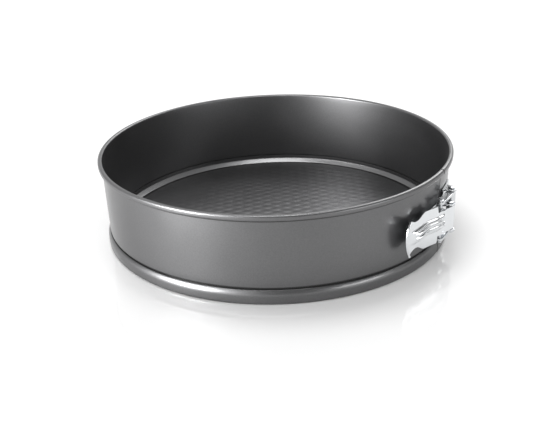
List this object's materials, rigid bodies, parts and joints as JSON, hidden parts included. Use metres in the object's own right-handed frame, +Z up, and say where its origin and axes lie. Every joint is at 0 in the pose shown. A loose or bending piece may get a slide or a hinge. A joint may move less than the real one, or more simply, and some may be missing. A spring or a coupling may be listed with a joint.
{
  "type": "springform cake pan",
  "caption": "Round springform cake pan: a split steel ring with a rolled rim, closed by a toggle latch, grips a loose base plate.",
  "frame": {"origin": "on the pan's axis, on the surface that the pan stands on", "axes": "+Z up along the pan's axis; the latch's split lies between +X and -Y"},
  "size_m": [0.2656, 0.2656, 0.065],
  "materials": {
    "coated_ring": "dark satin non-stick coating with fine metallic flake",
    "coated_floor": "dark satin non-stick coating on embossed sheet",
    "plated_lever": "bright nickel-plated pressing",
    "plated_fittings": "bright zinc-plated sheet",
    "pin_steel": "plated steel pins and rivets"
  },
  "bodies": {
    "pan": {"ring_front": "coated_ring", "base_plate": "coated_floor", "hinge_bracket": "plated_fittings", "hinge_rivet_lower": "pin_steel", "hinge_rivet_upper": "pin_steel", "pivot_pin": "pin_steel"},
    "ring_end": {"ring_back": "coated_ring", "anchor_bracket": "plated_fittings", "anchor_rivet_lower": "pin_steel", "anchor_rivet_upper": "pin_steel", "anchor_pin": "pin_steel"},
    "lever": {"lever": "plated_lever", "link_pin": "pin_steel"},
    "link": {"link": "plated_fittings"}
  },
  "joints": [
    {"name": "lever_swing", "type": "hinge", "parent": "pan", "child": "lever", "pos_m": [0.09723, -0.09864, 0.0313], "axis": [0, 0, 1], "range_deg": [0, 130]},
    {"name": "ring_open", "type": "hinge", "parent": "pan", "child": "ring_end", "pos_m": [-0.09433, 0.09433, 0.0313], "axis": [0, 0, 1], "range_deg": [0, 2.02]},
    {"name": "link_swing", "type": "hinge", "parent": "ring_end", "child": "link", "pos_m": [0.10324, -0.08839, 0.0313], "axis": [0, 0, 1], "range_deg": [0, 38.7]}
  ],
  "couplings": [
    {"joint": "ring_open", "follows": "lever_swing", "ratio": 0.015484},
    {"joint": "link_swing", "follows": "lever_swing", "ratio": 0.2971}
  ]
}
